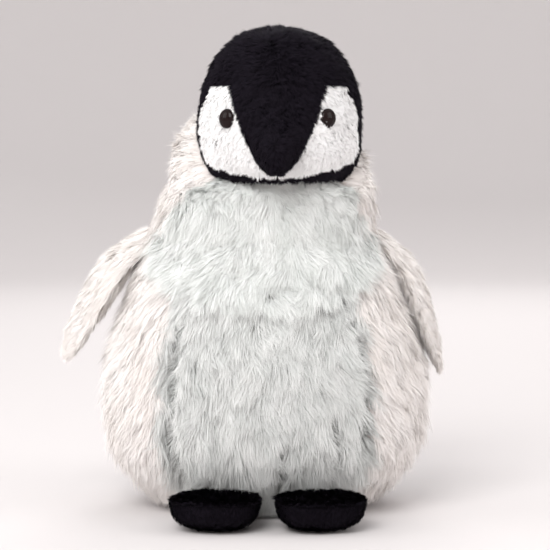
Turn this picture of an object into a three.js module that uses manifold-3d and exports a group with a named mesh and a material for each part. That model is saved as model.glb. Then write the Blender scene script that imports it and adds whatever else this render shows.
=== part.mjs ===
// A plush penguin chick: a bean-bag body and head of pile fabric panels sewn over polyester stuffing.
// Millimetres, +Z up, front towards -Y. The origin is on the floor, under the middle of the body.
// Left and right are the toy's own. Azimuth is 0 at the front and grows towards the toy's left (+X).
import * as THREE from 'three';
import { mergeVertices } from 'three/addons/utils/BufferGeometryUtils.js';
import Module from 'manifold-3d';

// ---------- driving dimensions ----------

const seamGap = 0.5; // between sewn panels

// body
const bodyOutline = [ // half width and height, from the base seam up to the shoulders
  [46, 0], [56, 4], [64.5, 12], [77.5, 28], [83, 48], [80.5, 82], [69.5, 114], [60.5, 135], [55.5, 149.5],
];
const bodyFrontDepth = 0.8; // depth in front of the middle, as a share of the half width
const bodyBackDepth = 0.84;
const bodyPile = 6; // cloth with its combed pile
const bellySeam = 41; // azimuths of the upright seams
const backSeam = 112;
const bibEnd = 80; // the bib's lower edge climbs from the middle to this azimuth
const bibLow = 113;
const shoulderHeight = 149.5;
const baseThickness = 5;

// neck, a ring that holds the head like a cup
const neckBottom = 150.5;
const neckHalfBottom = 55.5;
const neckHalfTop = 51.5;
const neckRounding = 60; // radius by which the nape rounds over towards its rim
const neckRoundFrom = 182;
const neckThroatTop = 158;
const neckNapeTop = 206;
const neckSeam = 60;
const neckLean = 2.5; // the ring leans this far towards the head's side
const neckBackBottom = 46.6; // half depth behind, at the bottom and near the rim
const neckBackTop = 51.5;
const neckCupGap = 1.1; // room between the cup and the head
const neckCupFront = 29; // half depths of the cup
const neckCupBackLow = 46;
const neckCupBackHigh = 52;
const neckFillingHalf = 42;
const neckFillingFront = 27.5;
const neckFillingBack = 43;
const neckFillingTop = 155.5;

// head
const headShift = new THREE.Vector3(7.5, -8, 0); // the head leans to the toy's left and forward
const headYaw = -2; // and looks a little to its right
const headMiddle = 197; // height of its widest part
const headHalf = 43;
const headFront = 54;
const headBack = 42;
const headUp = 52;
const headDown = 36;
const headUpPower = 2.3; // superellipse powers of its outline
const headDownPower = 3;
const headFrontPower = 1.8;
const headPile = 4.5;
const faceTop = 218.5; // height where the white cheeks and the V of the forehead end
const faceLow = 171; // lowest white, in the middle
const faceRise = 9; // how much the lower edge of the cheeks climbs to their outer end
const cheekEnd = 74; // azimuth of that end
const cheekPinch = 14; // how far the end draws in towards the top
const strapLow = 168.3;
const beakTipHeight = 173.5;
const beakWidth = 24.5; // half width of the V at its top
const beakReach = 17; // how far the beak stands out

// eyes
const eyeHeight = 201;
const eyeAzimuth = 39;
const eyeRadius = 4.9;
const eyeDome = 3.1;
const eyeShankRadius = 1.9;
const eyeShankLength = 11;
const eyeWasherRadius = 6;
const eyeWasherThickness = 1.6;

// flippers
const flipperHinge = new THREE.Vector3(61, 0, 146);
const flipperSplay = { left: 22, right: 33 }; // from hanging straight down
const flipperTurn = { left: 8, right: 24 }; // outer face turned this far to the front
const flipperHalfLength = 41;
const flipperDrop = 38; // from the hinge to the middle of the flipper
const flipperHalfChord = 15;
const flipperTaper = 1;
const flipperHalfThickness = 4.6;
const flipperCurl = 2.5;
const flipperCloth = 2.3; // one layer, with its pile
const flipperEdge = 1.3; // half thickness at the seam round it
const flipperFillingInset = 2.8;
const flipperFillingReach = 0.6;

// feet
const footCentre = { left: 27, right: -24 };
const footForward = -71;
const footHalfWidth = 23.5;
const footHalfLength = 20.5;
const footHeight = 17.5;
const footSeamHeight = 12.5; // high up, so that the foot hangs below it like a half disc
const footToeOut = 8;
const footCloth = 3.4; // one layer, with its pile
const footTopEdge = 1.6; // how far the edges of the top and the sole stay from the seam's level
const footSoleEdge = 2.2;
const footFillingUp = 1.2;
const footFillingDown = 8.6;
const footFillingReach = 0.72;

// tail
const tailBack = 75;
const tailHeight = 17;
const tailHalfWidth = 15;
const tailHalfLength = 12.5;
const tailHalfThickness = 3.6;
const tailDroop = 22;

// ---------- materials ----------

const cloth = (color, roughness) => new THREE.MeshStandardMaterial({ color, roughness, metalness: 0 });
const greyPlush = cloth(0xdadcd8, 0.95);
const palePlush = cloth(0xece6df, 0.95);
const blackPlush = cloth(0x17131a, 0.9);
const whitePlush = cloth(0xf8f7f4, 0.92);
const wadding = cloth(0xf2f2f0, 1);
const pelletCloth = cloth(0xd8d2c6, 0.95);
const satinTape = cloth(0xf6f5f2, 0.5);
const thread = cloth(0xcfcfca, 0.7);
const eyePlastic = new THREE.MeshStandardMaterial({ color: 0x0c0a0a, roughness: 0.08, metalness: 0 });
const washerPlastic = new THREE.MeshStandardMaterial({ color: 0xe8e8e4, roughness: 0.4, metalness: 0 });

// ---------- building helpers ----------

const radians = THREE.MathUtils.degToRad;
const degrees = THREE.MathUtils.radToDeg;
const lerp = THREE.MathUtils.lerp;
const smooth = (x, low, high) => THREE.MathUtils.smoothstep(x, low, high);

// An indexed geometry whose faces point out, whichever way its grid ran
function closedGeometry(points, index) {
  let volume = 0;
  for (let i = 0; i < index.length; i += 3) {
    const [a, b, c] = [points[index[i]], points[index[i + 1]], points[index[i + 2]]];
    volume += a.dot(new THREE.Vector3().crossVectors(b, c));
  }
  const turned = volume < 0 ? index.slice().reverse() : index;
  const geometry = new THREE.BufferGeometry().setFromPoints(points);
  geometry.setIndex(turned);
  geometry.computeVertexNormals();
  return geometry;
}

// A panel with four edges: face(u, v, inset) gives its surface at a depth below the pile's face
function sewnPanel(face, thickness, columns, rows) {
  const points = [];
  for (const inset of [0, thickness]) {
    for (let row = 0; row <= rows; row++) {
      for (let column = 0; column <= columns; column++) {
        points.push(face(column / columns, row / rows, inset));
      }
    }
  }
  const layer = (columns + 1) * (rows + 1);
  const at = (column, row, side) => side * layer + row * (columns + 1) + column;
  const index = [];
  const quad = (a, b, c, d) => index.push(a, b, c, a, c, d);
  for (let r = 0; r < rows; r++) {
    for (let c = 0; c < columns; c++) {
      quad(at(c, r, 0), at(c + 1, r, 0), at(c + 1, r + 1, 0), at(c, r + 1, 0));
      quad(at(c, r, 1), at(c, r + 1, 1), at(c + 1, r + 1, 1), at(c + 1, r, 1));
    }
    quad(at(0, r, 0), at(0, r + 1, 0), at(0, r + 1, 1), at(0, r, 1));
    quad(at(columns, r, 0), at(columns, r, 1), at(columns, r + 1, 1), at(columns, r + 1, 0));
  }
  for (let c = 0; c < columns; c++) {
    quad(at(c, 0, 0), at(c, 0, 1), at(c + 1, 0, 1), at(c + 1, 0, 0));
    quad(at(c, rows, 0), at(c + 1, rows, 0), at(c + 1, rows, 1), at(c, rows, 1));
  }
  return closedGeometry(points, index);
}

// A round piece: surface(turn, reach, side) gives its two sides, from the middle, reach 0, to the rim
function roundPiece(surface, sectors, rings) {
  const points = [];
  for (const side of [0, 1]) {
    points.push(surface(0, 0, side));
    for (let ring = 1; ring <= rings; ring++) {
      for (let sector = 0; sector < sectors; sector++) {
        points.push(surface(sector / sectors, ring / rings, side));
      }
    }
  }
  const layer = 1 + rings * sectors;
  const at = (ring, sector, side) =>
    side * layer + (ring === 0 ? 0 : 1 + (ring - 1) * sectors + (sector % sectors));
  const index = [];
  for (let s = 0; s < sectors; s++) {
    index.push(at(0, 0, 0), at(1, s, 0), at(1, s + 1, 0));
    index.push(at(0, 0, 1), at(1, s + 1, 1), at(1, s, 1));
    for (let r = 1; r < rings; r++) {
      index.push(at(r, s, 0), at(r + 1, s, 0), at(r + 1, s + 1, 0));
      index.push(at(r, s, 0), at(r + 1, s + 1, 0), at(r, s + 1, 0));
      index.push(at(r, s, 1), at(r + 1, s + 1, 1), at(r + 1, s, 1));
      index.push(at(r, s, 1), at(r, s + 1, 1), at(r + 1, s + 1, 1));
    }
    index.push(at(rings, s, 0), at(rings, s, 1), at(rings, s + 1, 1));
    index.push(at(rings, s, 0), at(rings, s + 1, 1), at(rings, s + 1, 0));
  }
  return closedGeometry(points, index);
}

// A turned form about +Z, from half widths and heights that start and end on the axis
function turned(outline, sectors) {
  const profile = outline.map(([radius, height]) => new THREE.Vector2(radius, height));
  return new THREE.LatheGeometry(profile, sectors).rotateX(Math.PI / 2);
}

const wasm = await Module();
wasm.setup();

function toManifold(geometry) {
  const bare = geometry.clone();
  bare.deleteAttribute('normal');
  bare.deleteAttribute('uv');
  const merged = mergeVertices(bare, 1e-4);
  const vertProperties = new Float32Array(merged.attributes.position.array);
  const triVerts = new Uint32Array(merged.index.array);
  return new wasm.Manifold(new wasm.Mesh({ numProp: 3, vertProperties, triVerts }));
}

function cut(geometry, ...cutters) {
  const left = cutters.reduce((body, cutter) => body.subtract(toManifold(cutter)), toManifold(geometry));
  const mesh = left.getMesh();
  const result = new THREE.BufferGeometry();
  result.setAttribute('position', new THREE.BufferAttribute(new Float32Array(mesh.vertProperties), 3));
  result.setIndex(new THREE.BufferAttribute(new Uint32Array(mesh.triVerts), 1));
  result.computeVertexNormals();
  return result;
}

function add(group, name, geometry, material) {
  const mesh = new THREE.Mesh(geometry, material);
  mesh.name = name;
  group.add(mesh);
  return mesh;
}

const penguin = new THREE.Group();

// ---------- body ----------

const bodyEdge = bodyOutline.map(([half, height]) => new THREE.Vector2(half, height));
const bodyProfile = new THREE.SplineCurve(bodyEdge);

// The place along the body's outline at a height
function bodyLevel(height) {
  let [low, high] = [0, 1];
  for (let step = 0; step < 30; step++) {
    const middle = (low + high) / 2;
    if (bodyProfile.getPoint(middle).y < height) low = middle;
    else high = middle;
  }
  return low;
}

function bodyPoint(azimuth, height, inset) {
  const level = bodyLevel(height);
  const edge = bodyProfile.getPoint(level);
  const along = bodyProfile.getTangent(level);
  const radius = edge.x - along.y * inset;
  const turn = radians(azimuth);
  const depth = Math.cos(turn) > 0 ? bodyFrontDepth : bodyBackDepth;
  return new THREE.Vector3(
    radius * Math.sin(turn),
    -radius * depth * Math.cos(turn),
    edge.y + along.x * inset,
  );
}

// Height of the curved line where the bib's pile falls over the belly
function bibLine(azimuth) {
  const share = Math.min(Math.abs(azimuth) / bibEnd, 1);
  return lerp(bibLow, shoulderHeight, share * share);
}

function bodyPanel(from, to, bottom, top, columns, rows) {
  const gap = radians(1) * seamGap; // half the gap, in degrees, on a radius of about 60
  const face = (u, v, inset) => {
    const azimuth = lerp(from + gap * 30, to - gap * 30, u);
    return bodyPoint(azimuth, lerp(bottom(azimuth), top(azimuth), v), inset);
  };
  return sewnPanel(face, bodyPile, columns, rows);
}

const atBase = () => 0.01;
const atShoulder = () => shoulderHeight;
const underBib = (azimuth) => bibLine(azimuth) - seamGap;

const torso = new THREE.Group();
penguin.add(torso);
add(torso, 'belly_panel', bodyPanel(-bellySeam, bellySeam, atBase, underBib, 8, 7), greyPlush);
add(torso, 'left_side_panel', bodyPanel(bellySeam, backSeam, atBase, underBib, 7, 8), palePlush);
add(torso, 'right_side_panel', bodyPanel(-backSeam, -bellySeam, atBase, underBib, 7, 8), palePlush);
add(torso, 'back_left_panel', bodyPanel(backSeam, 180, atBase, atShoulder, 6, 8), greyPlush);
add(torso, 'back_right_panel', bodyPanel(-180, -backSeam, atBase, atShoulder, 6, 8), greyPlush);
add(torso, 'chest_panel', bodyPanel(-bibEnd + 3, bibEnd - 3, bibLine, atShoulder, 14, 3), greyPlush);

// The base, a flat oval that the toy sits on
const baseHalf = bodyOutline[0][0] - seamGap;
const baseBevel = 3; // its rim leans in with the seam allowance
add(torso, 'base_panel', roundPiece((turn, reach, side) => new THREE.Vector3(
  (baseHalf - side * baseBevel) * reach * Math.sin(turn * 2 * Math.PI),
  -(baseHalf - side * baseBevel) * reach * bodyFrontDepth * Math.cos(turn * 2 * Math.PI),
  side * baseThickness,
), 24, 1), palePlush);

// A small bag of plastic pellets low in the body, and the wadding above it
const pelletHalf = 43;
const pellets = turned([[0, 6.5], [30, 6.5], [40, 9], [pelletHalf, 15], [40, 21], [28, 25], [0, 26]], 16);
add(torso, 'pellet_bag', pellets.scale(1, 0.78, 1), pelletCloth);
const fillingInset = 10.5;
const fillingHeights = [28, 40, 55, 75, 95, 115, 132, 144];
const filling = fillingHeights.map((height) => {
  const edge = bodyPoint(90, height, fillingInset);
  return [edge.x, height];
});
add(torso, 'body_stuffing', turned([[0, 28], ...filling, [0, 147]], 18).scale(1, 0.78, 1), wadding);

// The seam that was closed by hand last, up the middle of the back: one thread laced from side to side
const stitchBottom = 62;
const stitchTop = 104;
const stitchPitch = 3.5;
const stitchHalfWidth = 1.6;
const stitchCount = Math.round((stitchTop - stitchBottom) / stitchPitch);
const lacing = [];
for (let i = 0; i <= stitchCount; i++) {
  const seat = bodyPoint(180, stitchBottom + i * stitchPitch, -1.1);
  seat.x = (i % 2 ? 1 : -1) * stitchHalfWidth;
  lacing.push(seat);
}
const threadSection = new THREE.Shape().absarc(0, 0, 0.45, 0, 2 * Math.PI);
add(torso, 'closing_stitch', new THREE.ExtrudeGeometry(threadSection, {
  extrudePath: new THREE.CatmullRomCurve3(lacing, false, 'centripetal'),
  steps: stitchCount * 2,
  curveSegments: 3,
}), thread);

// A blank folded tape caught in the seam between the side and the back
const labelReach = 16;
const labelWidth = 12;
const labelHeight = 57; // at the body's widest, where the seam runs straight up
const labelSweep = 42; // it lies back along the body, turned this far from straight out
const labelFold = new THREE.Shape();
labelFold.moveTo(0, -0.9);
labelFold.lineTo(labelReach, -0.9);
labelFold.absarc(labelReach, 0, 0.9, -Math.PI / 2, Math.PI / 2);
labelFold.lineTo(0, 0.9);
labelFold.lineTo(0, 0.4);
labelFold.lineTo(labelReach - 0.2, 0.4);
labelFold.lineTo(labelReach - 0.2, -0.4);
labelFold.lineTo(0, -0.4);
const labelTape = new THREE.ExtrudeGeometry(labelFold, {
  depth: labelWidth,
  bevelEnabled: false,
  curveSegments: 4,
});
const label = add(torso, 'care_label', labelTape, satinTape);
label.position.copy(bodyPoint(backSeam, labelHeight, -1.2)).z -= labelWidth / 2;
label.rotation.z = radians(backSeam - 90 + labelSweep);

// ---------- neck ----------

const neck = new THREE.Group();
penguin.add(neck);

function neckRim(azimuth) {
  return lerp(neckThroatTop, neckNapeTop, smooth(Math.min(Math.abs(azimuth), 360 - azimuth), 40, 125));
}

function neckPanel(from, to, columns, rows) {
  const face = (u, v, inset) => {
    const azimuth = lerp(from, to, u);
    const turn = radians(azimuth);
    const height = lerp(neckBottom, neckRim(azimuth), v);
    const over = Math.sqrt(1 - (Math.max(height - neckRoundFrom, 0) / neckRounding) ** 2);
    const half = lerp(neckHalfBottom, neckHalfTop, smooth(height, neckBottom, neckRoundFrom)) * over;
    const front = Math.cos(turn) > 0;
    if (inset === 0) {
      const behind = lerp(neckBackBottom, neckBackTop, smooth(height, neckBottom, 190)) * over;
      const depth = front ? half * bodyFrontDepth : behind;
      const lean = neckLean * smooth(height, neckBottom, 170);
      return new THREE.Vector3(lean + half * Math.sin(turn), -depth * Math.cos(turn), height);
    }
    const cup = headHalf + neckCupGap;
    const cupBack = lerp(neckCupBackLow, neckCupBackHigh, smooth(height, 160, 200));
    return new THREE.Vector3(
      headShift.x + cup * Math.sin(turn),
      headShift.y - (front ? neckCupFront : cupBack) * Math.cos(turn),
      height,
    );
  };
  return sewnPanel(face, 1, columns, rows);
}

add(neck, 'throat_panel', neckPanel(-neckSeam, neckSeam, 10, 2), greyPlush);
add(neck, 'nape_panel', neckPanel(neckSeam + 0.6, 360 - neckSeam - 0.6, 20, 4), greyPlush);
add(neck, 'neck_stuffing', roundPiece((turn, reach, side) => {
  const across = Math.sin(turn * 2 * Math.PI);
  const forward = Math.cos(turn * 2 * Math.PI);
  const depth = forward > 0 ? neckFillingFront : neckFillingBack;
  return new THREE.Vector3(
    headShift.x + neckFillingHalf * reach * across,
    headShift.y - depth * reach * forward,
    side ? neckFillingTop : neckBottom,
  );
}, 20, 1), wadding);

// ---------- head ----------

const head = new THREE.Group();
head.position.copy(headShift);
head.rotation.z = radians(headYaw);
penguin.add(head);

// Share of the half width that is left at a height
function headShare(height) {
  const [reach, power] = height > headMiddle ? [headUp, headUpPower] : [headDown, headDownPower];
  return (1 - Math.min(Math.abs(height - headMiddle) / reach, 1) ** power) ** (1 / power);
}

// A point of the head at an azimuth and height, with inset the depth below the pile's face
function headPoint(azimuth, height, inset) {
  const turn = radians(azimuth);
  const share = headShare(height);
  const front = Math.cos(turn) > 0;
  const power = front ? 2 / headFrontPower : 1;
  const across = Math.sign(Math.sin(turn)) * Math.abs(Math.sin(turn)) ** power;
  const along = Math.abs(Math.cos(turn)) ** power * (front ? -headFront + inset : headBack - inset);
  const reach = height > headMiddle ? headUp : headDown;
  const level = headMiddle + (height - headMiddle) * (1 - inset / reach);
  return new THREE.Vector3((headHalf - inset) * share * across, along * share, level);
}

// Half width of the black V at a height, and the azimuth at a distance from the middle
const beakClimb = (height) => Math.max(height - beakTipHeight + 1, 0) / (faceTop - beakTipHeight + 1);
const beakHalf = (height) => beakWidth * Math.sqrt(beakClimb(height));
const azimuthAt = (x, height) =>
  degrees(Math.asin(Math.min(x / (headHalf * headShare(height)), 1) ** (headFrontPower / 2)));
const beakRise = (height) => beakReach * (1 - smooth(height, beakTipHeight, faceTop - 4));
const cheekOuter = (height) => cheekEnd - cheekPinch * smooth(height, 203, faceTop);
const cheekLower = (azimuth) => faceLow + faceRise * (azimuth / cheekEnd) ** 2;

const crownEdge = Math.asin(((faceTop + 0.7 - headMiddle) / headUp) ** (headUpPower / 2));
const crown = roundPiece((turn, reach, side) => {
  const rise = lerp(Math.PI / 2, crownEdge, reach);
  const height = headMiddle + headUp * Math.sin(rise) ** (2 / headUpPower);
  return headPoint(turn * 360, height, side * headPile);
}, 22, 4);
add(head, 'crown_panel', crown, blackPlush);

// The forehead gusset runs down as a V and stands out into the beak
const gusset = sewnPanel((u, v, inset) => {
  const height = lerp(beakTipHeight, faceTop, v ** 1.5);
  const side = 2 * u - 1;
  const azimuth = Math.sign(side) * azimuthAt(beakHalf(height) * Math.abs(side), height);
  const point = headPoint(azimuth, height, inset);
  const bump = beakRise(height) * (1 - side * side) ** 0.8;
  point.y -= inset === 0 ? bump : bump * 0.75;
  return point;
}, headPile, 8, 8);
add(head, 'forehead_gusset', gusset, blackPlush);

const tipHalf = beakHalf(beakTipHeight);
const tipRoot = -headPoint(0, beakTipHeight, 0).y + 0.9; // just clear of the gusset's edge
const tipReach = tipRoot + beakReach - 0.9;
const underBeak = new THREE.Shape();
underBeak.moveTo(-tipHalf, -tipRoot);
underBeak.lineTo(tipHalf, -tipRoot);
underBeak.bezierCurveTo(tipHalf, -tipReach, -tipHalf, -tipReach, -tipHalf, -tipRoot);
add(head, 'beak_underside', new THREE.ExtrudeGeometry(underBeak, {
  depth: 1.3,
  bevelEnabled: false,
  curveSegments: 8,
}).translate(0, 0, beakTipHeight - 1.7), blackPlush);

// A cheek of white pile on each side of the V, with a hole for the eye's shank
function cheek(side) {
  const face = (u, v, inset) => {
    const climb = v ** 1.4;
    const level = lerp(faceLow, faceTop - 0.3, climb);
    const inner = azimuthAt(beakHalf(level + 0.6) + 0.5, level);
    const azimuth = lerp(inner, cheekOuter(level + (1 - climb) * faceRise), u);
    const lift = (1 - climb) * (cheekLower(azimuth) - faceLow) * Math.min(3 * u, 1);
    return headPoint(side * azimuth, level + lift, inset);
  };
  return sewnPanel(face, headPile, 6, 7);
}

function headSide(side) {
  const face = (u, v, inset) => {
    const height = lerp(strapLow, faceTop, v);
    const front = cheekOuter(height) + lerp(1, 2.4, smooth(height, 196, 206)); // clear of the cheek's curve
    return headPoint(side * lerp(front, 179.4, u), height, inset);
  };
  return sewnPanel(face, headPile, 7, 6);
}

add(head, 'chin_strap', sewnPanel((u, v, inset) => {
  const azimuth = lerp(-cheekEnd, cheekEnd, u);
  return headPoint(azimuth, lerp(strapLow, cheekLower(Math.abs(azimuth)) - 0.6, v), inset);
}, headPile, 16, 1), blackPlush);

// Safety eyes: a domed button on a shank, through the cheek and held behind it by a washer
const eyeButton = [
  [0, -eyeShankLength], [eyeShankRadius, -eyeShankLength], [eyeShankRadius, 0], [eyeRadius - 0.4, 0],
  [eyeRadius, 0.5], [eyeRadius * 0.92, eyeDome * 0.5], [eyeRadius * 0.7, eyeDome * 0.8],
  [eyeRadius * 0.38, eyeDome * 0.96], [0, eyeDome],
];
const eyeProud = 0.5;

function eyePlace(side) {
  const seat = headPoint(side * eyeAzimuth, eyeHeight, 0);
  const across = headPoint(side * (eyeAzimuth + 2), eyeHeight, 0).sub(seat);
  const up = headPoint(side * eyeAzimuth, eyeHeight + 2, 0).sub(seat);
  const out = new THREE.Vector3().crossVectors(across, up).normalize().multiplyScalar(side);
  const turn = new THREE.Quaternion().setFromUnitVectors(new THREE.Vector3(0, 0, 1), out);
  return new THREE.Matrix4().compose(seat.addScaledVector(out, eyeProud), turn, new THREE.Vector3(1, 1, 1));
}

// The stuffing fills the head behind the panels, with pockets for the eyes' washers
const stuffingInset = 7;
const headFilling = [];
for (let i = 0; i <= 9; i++) {
  const height = lerp(headMiddle - headDown + 1, headMiddle + headUp - 1, i / 9);
  const point = headPoint(90, height, stuffingInset);
  headFilling.push([point.x, point.z]);
}
const headForm = turned([[0, headFilling[0][1]], ...headFilling, [0, headFilling[9][1]]], 16);
const filled = headForm.attributes.position;
for (let i = 0; i < filled.count; i++) {
  const depth = filled.getY(i) < 0 ? headFront - 10 : headBack - stuffingInset;
  filled.setY(i, filled.getY(i) * depth / (headHalf - stuffingInset));
}

const pockets = [];
for (const [name, side] of [['left', 1], ['right', -1]]) {
  const place = eyePlace(side);
  const hole = new THREE.CylinderGeometry(eyeShankRadius + 0.4, eyeShankRadius + 0.4, 20, 12);
  hole.rotateX(Math.PI / 2).applyMatrix4(place);
  add(head, `${name}_cheek_patch`, cut(cheek(side), hole), whitePlush);
  add(head, `${name}_head_side`, headSide(side), blackPlush);

  const eye = add(head, `${name}_eye`, turned(eyeButton, 14), eyePlastic);
  eye.applyMatrix4(place);
  const back = -eyeProud - headPile - 0.9; // the washer's face, clear of the back of the cloth
  const bore = eyeShankRadius + 0.4;
  const washer = add(head, `${name}_eye_washer`, turned([
    [bore, back], [bore, back - eyeWasherThickness], [eyeWasherRadius, back - eyeWasherThickness],
    [eyeWasherRadius, back], [bore, back],
  ], 14), washerPlastic);
  washer.applyMatrix4(place);
  const pocket = new THREE.CylinderGeometry(eyeWasherRadius + 0.6, eyeWasherRadius + 0.6, 24, 16);
  pocket.rotateX(Math.PI / 2).applyMatrix4(place);
  pockets.push(pocket);
}
add(head, 'head_stuffing', cut(headForm, ...pockets), wadding);

// ---------- flippers ----------

// A flat sewn limb seen from its face: a rounded outline that narrows towards the tip
function limbOutline(turn, halfLength, halfChord, taper, roundness) {
  const angle = turn * 2 * Math.PI;
  const curve = (value) => Math.sign(value) * Math.abs(value) ** roundness;
  const chord = halfChord + taper * Math.cos(angle);
  return [curve(Math.sin(angle)) * chord, curve(Math.cos(angle)) * halfLength];
}

function flipperPiece(low, high, reachShare) {
  return roundPiece((turn, reach, side) => {
    const [chord, length] = limbOutline(turn, flipperHalfLength, flipperHalfChord, flipperTaper, 0.72);
    const out = reach * reachShare;
    const along = length * out;
    const curl = flipperCurl * (1 - (along / flipperHalfLength) ** 2);
    return new THREE.Vector3(
      (side ? high : low)(reach) + curl,
      chord * out,
      along - flipperDrop,
    );
  }, 16, 4);
}

for (const [name, side] of [['left', 1], ['right', -1]]) {
  const flipper = new THREE.Group();
  flipper.position.set(side * flipperHinge.x, flipperHinge.y, flipperHinge.z);
  flipper.rotation.set(0, -side * radians(flipperSplay[name]), -side * radians(flipperTurn[name]));
  penguin.add(flipper);
  const full = (reach) => flipperEdge + (flipperHalfThickness - flipperEdge) * (1 - reach ** 2.4);
  const mirrored = (shape) => shape.scale(side, 1, 1);
  const turnedOut = (shape) => (side < 0 ? flipFaces(mirrored(shape)) : shape);
  const back = (reach) => Math.max(full(reach) - flipperCloth, seamGap / 2);
  const outer = flipperPiece(back, full, 1);
  const inner = flipperPiece((reach) => -full(reach), (reach) => -back(reach), 1);
  const fillingHalf = flipperHalfThickness - flipperFillingInset;
  const core = (reach) => Math.max(fillingHalf * (1 - reach ** 2), 0.12);
  const middle = flipperPiece((reach) => -core(reach), core, flipperFillingReach);
  add(flipper, `${name}_flipper_outer`, turnedOut(outer), palePlush);
  add(flipper, `${name}_flipper_inner`, turnedOut(inner), greyPlush);
  add(flipper, `${name}_flipper_filling`, turnedOut(middle), wadding);
}

// Scaling by -1 turns a closed shape inside out, and this turns its faces out again
function flipFaces(shape) {
  shape.index.array.reverse();
  shape.computeVertexNormals();
  return shape;
}

// ---------- feet ----------

function footPiece(low, high, reachShare) {
  return roundPiece((turn, reach, side) => {
    const [across, along] = limbOutline(turn, footHalfLength, footHalfWidth, 1.5, 0.8);
    const out = reach * reachShare;
    return new THREE.Vector3(across * out, -along * out, (side ? high : low)(reach));
  }, 18, 4);
}

for (const [name, side] of [['left', 1], ['right', -1]]) {
  const foot = new THREE.Group();
  foot.position.set(footCentre[name], footForward, 0);
  foot.rotation.z = side * radians(footToeOut);
  penguin.add(foot);
  const topEdge = footSeamHeight + footTopEdge;
  const top = (reach) => topEdge + (footHeight - topEdge) * (1 - reach ** 2.6);
  const sole = (reach) => (footSeamHeight - footSoleEdge) * reach ** 4;
  const topBack = (reach) => Math.max(top(reach) - footCloth, footSeamHeight + 0.2);
  const soleBack = (reach) => Math.min(sole(reach) + footCloth, footSeamHeight - 0.2);
  add(foot, `${name}_foot_top`, footPiece(topBack, top, 1), blackPlush);
  add(foot, `${name}_foot_sole`, footPiece(sole, soleBack, 1), blackPlush);
  const fillTop = (reach) => footSeamHeight + 0.1 + footFillingUp * (1 - reach ** 2);
  const fillLow = (reach) => footSeamHeight - 0.1 - footFillingDown * (1 - reach ** 2);
  add(foot, `${name}_foot_stuffing`, footPiece(fillLow, fillTop, footFillingReach), wadding);
}

// ---------- tail ----------

const tail = new THREE.Group();
tail.position.set(0, tailBack, tailHeight);
tail.rotation.x = -radians(tailDroop);
penguin.add(tail);

function tailPiece(low, high) {
  return roundPiece((turn, reach, side) => {
    const [across, along] = limbOutline(turn, tailHalfLength, tailHalfWidth - 5, -5, 0.85);
    return new THREE.Vector3(across * reach, along * reach, (side ? high : low)(reach));
  }, 14, 3);
}

const tailFull = (reach) => 1.1 + (tailHalfThickness - 1.1) * (1 - reach ** 2);
add(tail, 'tail_top', tailPiece(() => 0.2, tailFull), greyPlush);
add(tail, 'tail_underside', tailPiece((reach) => -tailFull(reach), () => -0.2), greyPlush);

export default penguin;
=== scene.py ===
import math

import bpy
import bmesh
import numpy as np
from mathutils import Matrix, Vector, kdtree


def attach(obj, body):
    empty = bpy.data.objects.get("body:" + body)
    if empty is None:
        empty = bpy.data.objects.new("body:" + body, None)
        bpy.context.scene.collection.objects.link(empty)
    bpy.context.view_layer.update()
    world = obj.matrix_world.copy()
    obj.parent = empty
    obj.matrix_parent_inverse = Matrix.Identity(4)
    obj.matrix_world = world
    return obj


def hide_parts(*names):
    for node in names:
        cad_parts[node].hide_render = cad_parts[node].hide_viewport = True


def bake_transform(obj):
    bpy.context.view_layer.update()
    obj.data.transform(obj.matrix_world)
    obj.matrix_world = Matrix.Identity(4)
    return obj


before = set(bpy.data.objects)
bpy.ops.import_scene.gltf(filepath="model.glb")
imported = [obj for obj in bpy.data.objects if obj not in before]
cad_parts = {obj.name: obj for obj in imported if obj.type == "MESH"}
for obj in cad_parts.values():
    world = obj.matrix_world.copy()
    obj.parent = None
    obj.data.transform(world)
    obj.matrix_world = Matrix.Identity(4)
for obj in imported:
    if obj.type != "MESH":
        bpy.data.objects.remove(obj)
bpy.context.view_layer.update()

# ---------------------------------------------------------------------------------------
# Studio: a pale paper cove, round and shallow, so that every side has the same plain
# backdrop. A wide soft light in front, a smaller one on each side and one behind. The
# camera stands in front of the toy and looks very slightly down.
# ---------------------------------------------------------------------------------------

scene = bpy.context.scene
scene.view_settings.view_transform = "Standard"
scene.view_settings.look = "None"

cove_floor = 1.7
cove_curve = 0.9
cove_wall = 1.1
cove_profile = [(0.0, 0.0), (0.4, 0.0), (0.8, 0.0), (1.3, 0.0)] + [
    (cove_floor + cove_curve * math.sin(t), cove_curve * (1 - math.cos(t)))
    for t in np.linspace(0, math.pi / 2, 14)
] + [(cove_floor + cove_curve, cove_curve + cove_wall)]
cove_form = bmesh.new()
cove_sides = 96
cove_angles = [2 * math.pi * k / cove_sides for k in range(cove_sides)]
cove_rings = [
    [cove_form.verts.new((r * math.cos(a), r * math.sin(a), z)) for a in cove_angles]
    for r, z in cove_profile
]
for low, high in zip(cove_rings, cove_rings[1:]):
    for k in range(cove_sides):
        cove_form.faces.new((low[k], low[(k + 1) % cove_sides], high[(k + 1) % cove_sides], high[k]))
bmesh.ops.remove_doubles(cove_form, verts=cove_form.verts[:], dist=1e-5)
for f in cove_form.faces:
    f.smooth = True
cove_mesh = bpy.data.meshes.new("paper_cove")
cove_form.to_mesh(cove_mesh)
cove_form.free()
cove = bpy.data.objects.new("paper_cove", cove_mesh)
scene.collection.objects.link(cove)
cove_paper = bpy.data.materials.new("cove_paper")
cove_paper.use_nodes = True
cove_paper.node_tree.nodes["Principled BSDF"].inputs["Base Color"].default_value = (0.63, 0.60, 0.595, 1)
cove_paper.node_tree.nodes["Principled BSDF"].inputs["Roughness"].default_value = 0.9
cove_paper.node_tree.nodes["Principled BSDF"].inputs["Specular IOR Level"].default_value = 0.1
cove_mesh.materials.append(cove_paper)

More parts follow.
